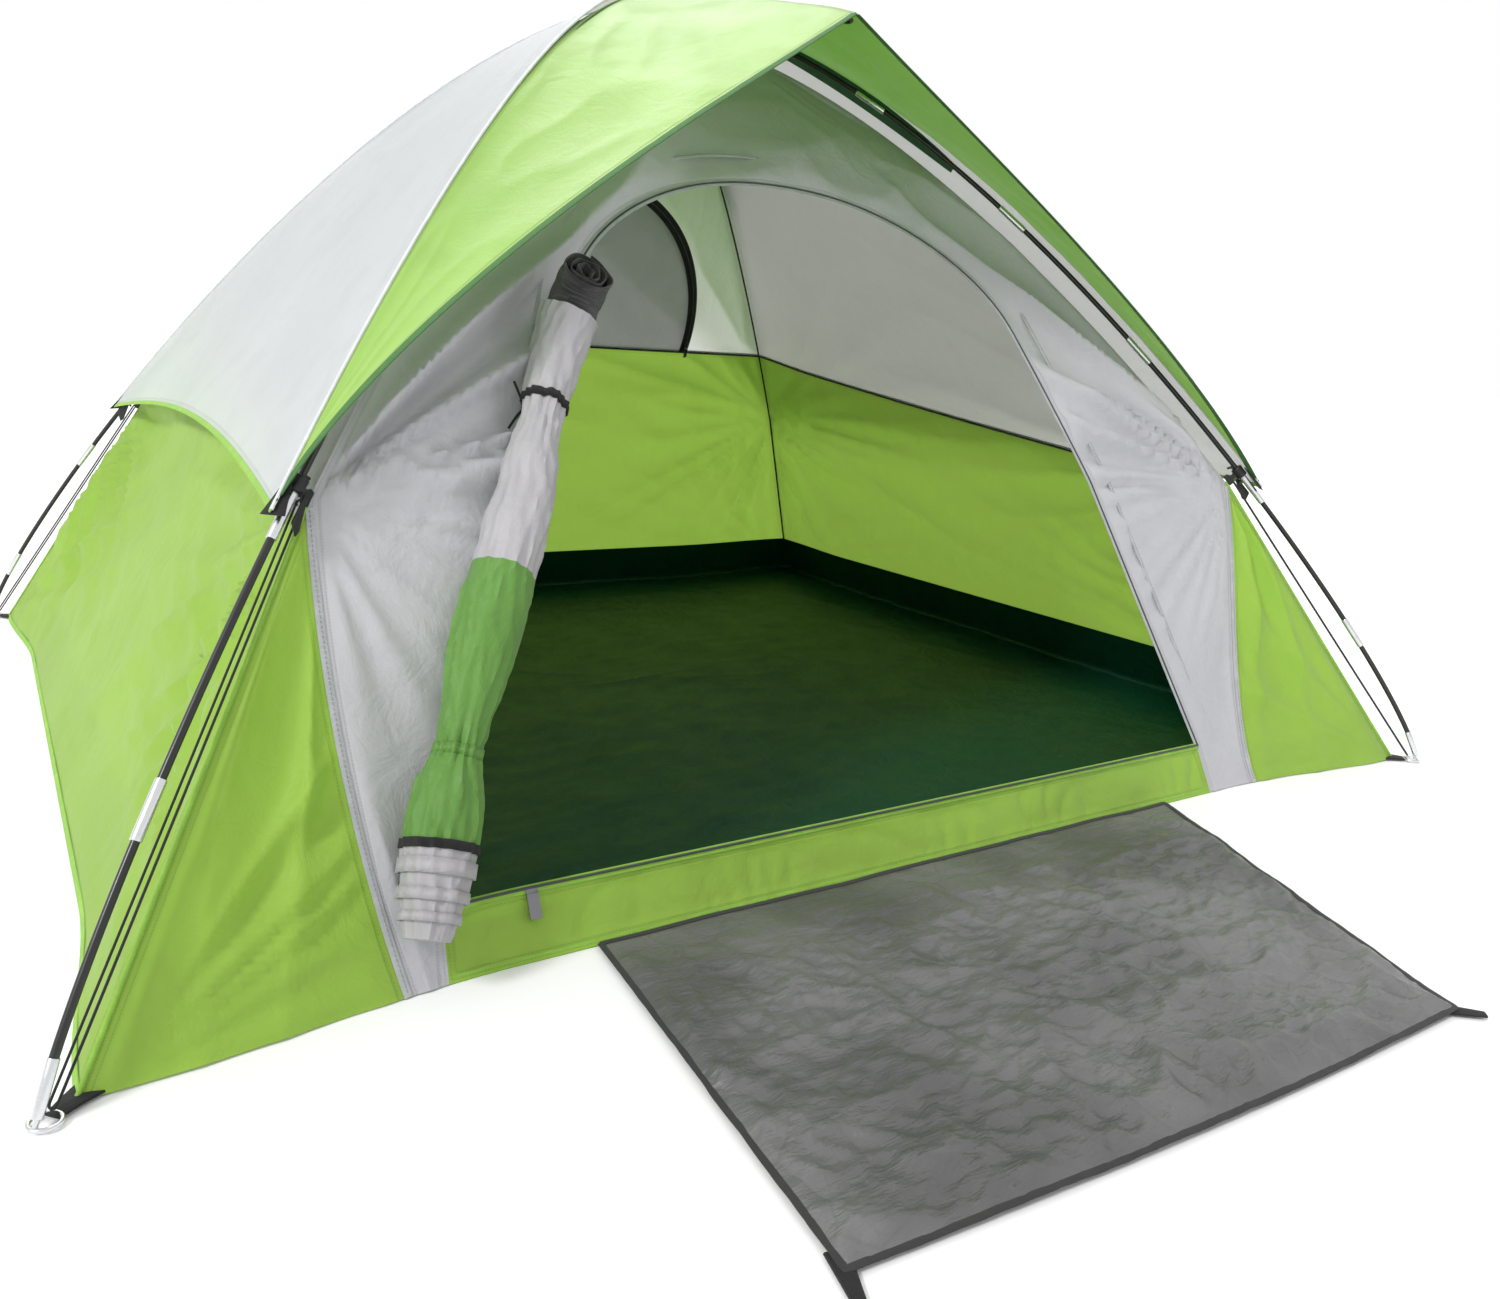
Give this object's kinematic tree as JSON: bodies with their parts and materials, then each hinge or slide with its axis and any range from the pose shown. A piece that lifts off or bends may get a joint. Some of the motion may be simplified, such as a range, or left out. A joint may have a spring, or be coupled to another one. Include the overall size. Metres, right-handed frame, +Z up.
{
  "type": "dome tent on poles",
  "caption": "Pitched two-pole dome tent: inner tent clipped to crossed jointed poles, rainfly with bowed ridge pole, arched door rolled aside, tub floor and entry mat.",
  "frame": {"origin": "on the ground, midway between the four pole feet, on the underside of the floor", "axes": "+X to the right seen from the front, +Y from the door to the back, +Z up"},
  "size_m": [2.211, 2.5767, 1.2631],
  "materials": {
    "anchor_webbing": "woven black webbing with a plain steel ring and pin",
    "black_plastic": "moulded, satin",
    "elastic_cord": "braided cover over rubber",
    "tie_elastic": "flat woven elastic",
    "fibreglass": "black fibreglass, satin",
    "pole_steel": "plain bright steel",
    "zip_metal": "dark metal zip slider",
    "grey_cloth": "thin coated polyester, plain weave",
    "fly_grey_cloth": "coated polyester, slight sheen",
    "lime_cloth": "thin polyester, plain weave, lets light through",
    "fly_lime_cloth": "coated polyester, lets light through",
    "floor_cloth": "heavy coated polyester, dark green",
    "tarp": "woven coated tarpaulin, grey"
  },
  "bodies": {
    "tent": {"anchor_back_left": "anchor_webbing", "anchor_back_right": "anchor_webbing", "anchor_front_left": "anchor_webbing", "anchor_front_right": "anchor_webbing", "back_wall_lower": "lime_cloth", "back_wall_upper": "grey_cloth", "corner_elastic_back_left": "elastic_cord", "corner_elastic_back_right": "elastic_cord", "corner_elastic_front_left": "elastic_cord", "corner_elastic_front_right": "elastic_cord", "door_roll": "grey_cloth", "front_gusset_left": "lime_cloth", "front_gusset_right": "lime_cloth", "front_sill": "lime_cloth", "front_wall": "grey_cloth", "left_wall_lower": "lime_cloth", "left_wall_upper": "grey_cloth", "pole_a_ferrule_1": "pole_steel", "pole_a_ferrule_2": "pole_steel", "pole_a_ferrule_3": "pole_steel", "pole_a_section_1": "fibreglass", "pole_a_section_2": "fibreglass", "pole_a_section_3": "fibreglass", "pole_a_section_4": "fibreglass", "pole_a_shock_cord": "elastic_cord", "pole_a_tip_back": "pole_steel", "pole_a_tip_front": "pole_steel", "pole_b_ferrule_1": "pole_steel", "pole_b_ferrule_2": "pole_steel", "pole_b_ferrule_3": "pole_steel", "pole_b_section_1": "fibreglass", "pole_b_section_2": "fibreglass", "pole_b_section_3": "fibreglass", "pole_b_section_4": "fibreglass", "pole_b_shock_cord": "elastic_cord", "pole_b_tip_back": "pole_steel", "pole_b_tip_front": "pole_steel", "pole_clip_back_left": "black_plastic", "pole_clip_back_right": "black_plastic", "pole_clip_front_left": "black_plastic", "pole_clip_front_right": "black_plastic", "rear_window_flap": "grey_cloth", "right_wall_lower": "lime_cloth", "right_wall_upper": "grey_cloth", "roll_tie_lower": "tie_elastic", "roll_tie_upper": "tie_elastic", "tub_floor": "floor_cloth"},
    "rainfly": {"fly_front_awning": "fly_lime_cloth", "fly_hook_back_left": "black_plastic", "fly_hook_back_right": "black_plastic", "fly_hook_front_left": "black_plastic", "fly_hook_front_right": "black_plastic", "fly_left_panel": "fly_grey_cloth", "fly_rear_awning": "fly_lime_cloth", "fly_right_panel": "fly_grey_cloth", "ridge_pole": "fibreglass"},
    "door_slider": {"door_zip_slider": "zip_metal"},
    "window_slider": {"window_zip_slider": "zip_metal"},
    "mat": {"ground_mat": "tarp"}
  },
  "joints": [
    {"name": "rainfly_lift", "type": "slide", "parent": "tent", "child": "rainfly", "axis": [0, 0, 1], "range_m": [0, 0.4]},
    {"name": "door_zip", "type": "slide", "parent": "tent", "child": "door_slider", "axis": [1, 0, 0], "range_m": [0, 0.9]},
    {"name": "window_zip", "type": "slide", "parent": "tent", "child": "window_slider", "axis": [-0.1989, -0.5641, 0.8014], "range_m": [0, 0.1]},
    {"name": "mat_fold", "type": "hinge", "parent": "tent", "child": "mat", "pos_m": [0, -0.9534, 0.0015], "axis": [-1, 0, 0], "range_deg": [0, 75]}
  ]
}
